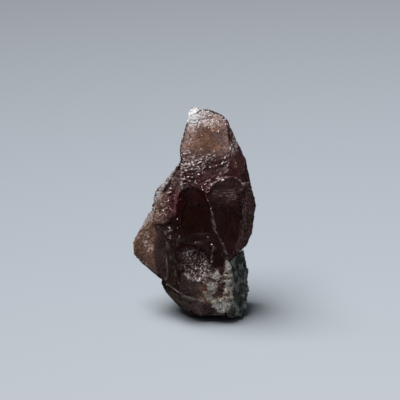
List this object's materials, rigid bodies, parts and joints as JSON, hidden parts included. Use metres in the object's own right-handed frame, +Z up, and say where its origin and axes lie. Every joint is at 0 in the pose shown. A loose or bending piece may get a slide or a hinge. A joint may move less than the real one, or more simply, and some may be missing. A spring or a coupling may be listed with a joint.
{
  "type": "axinite crystal specimen",
  "caption": "Wedge-bladed clove-brown axinite crystal standing on a broken foot with a pale feldspar crust and dark green host rock.",
  "frame": {"origin": "centre of the bounding box's underside, on the surface the specimen stands on", "axes": "+Z up along the crystal, front with the striated face and the scoops toward -Y, left lobe toward -X"},
  "size_m": [0.02, 0.0128, 0.0353],
  "materials": {
    "axinite": "vitreous, dark clove brown, see-through only where thin, frosted on the broken tip",
    "feldspar": "dull granular cream with pink and ochre stains",
    "green_rock": "rough dark grey-green"
  },
  "bodies": {
    "root": {"axinite_crystal": "axinite", "feldspar_crust": "feldspar", "green_matrix": "green_rock"}
  },
  "joints": []
}
